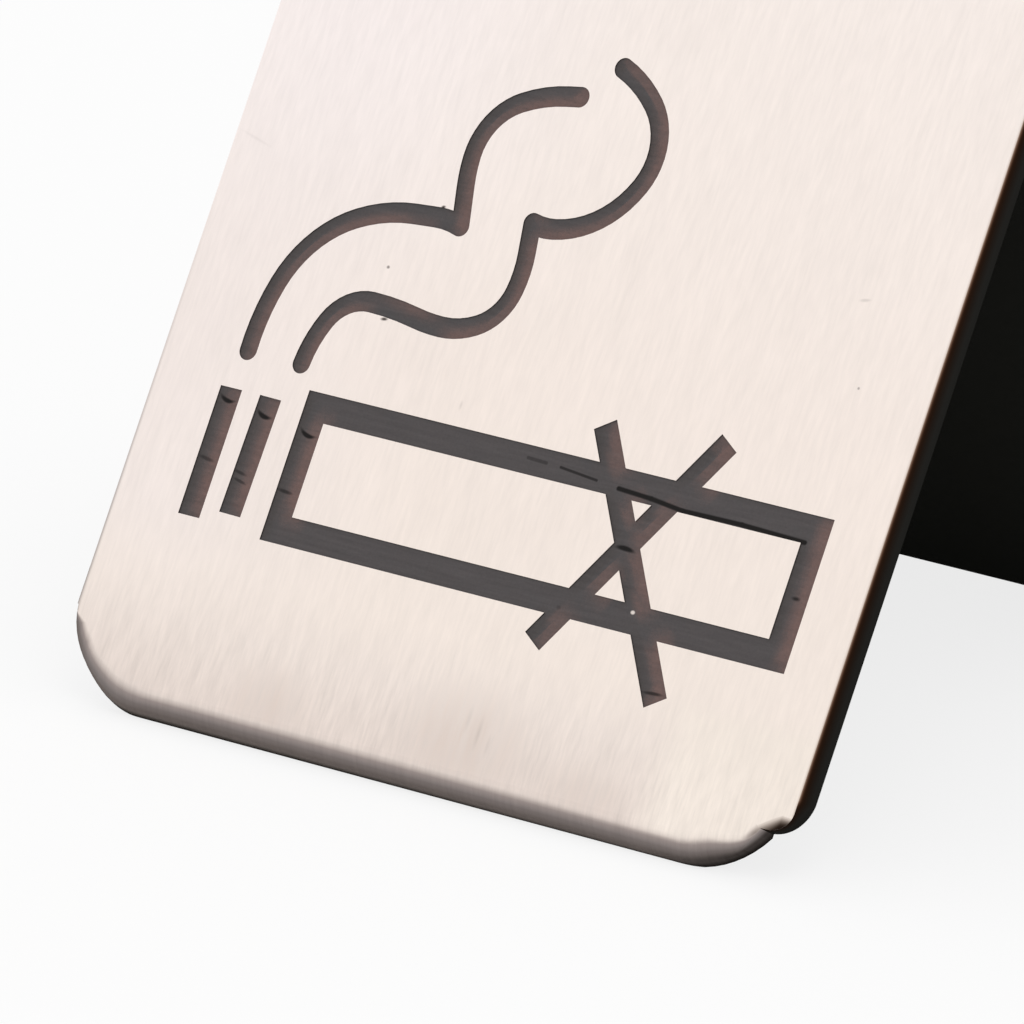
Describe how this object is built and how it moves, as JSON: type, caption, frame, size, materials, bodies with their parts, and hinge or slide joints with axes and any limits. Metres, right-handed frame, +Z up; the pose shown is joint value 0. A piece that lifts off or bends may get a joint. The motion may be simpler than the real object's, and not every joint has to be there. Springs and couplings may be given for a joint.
{
  "type": "no smoking table sign",
  "caption": "Free-standing no smoking sign: one brushed steel strip folded into a tent, with a crossed-out cigarette and its smoke engraved and filled dark on both leaves",
  "frame": {"origin": "on the table, under the middle of the fold", "axes": "X along the fold, -Y is the front leaf's side, +Z up"},
  "size_m": [0.055, 0.0576, 0.0492],
  "materials": {
    "brushed_steel": "brushed up the leaves",
    "charcoal_enamel": "satin charcoal resin fill"
  },
  "bodies": {
    "root": {"folded_sheet": "brushed_steel", "front_cigarette_enamel": "charcoal_enamel", "front_long_ash_enamel": "charcoal_enamel", "front_short_ash_enamel": "charcoal_enamel", "front_left_smoke_enamel": "charcoal_enamel", "front_right_smoke_enamel": "charcoal_enamel", "rear_cigarette_enamel": "charcoal_enamel", "rear_long_ash_enamel": "charcoal_enamel", "rear_short_ash_enamel": "charcoal_enamel", "rear_left_smoke_enamel": "charcoal_enamel", "rear_right_smoke_enamel": "charcoal_enamel"}
  },
  "joints": []
}
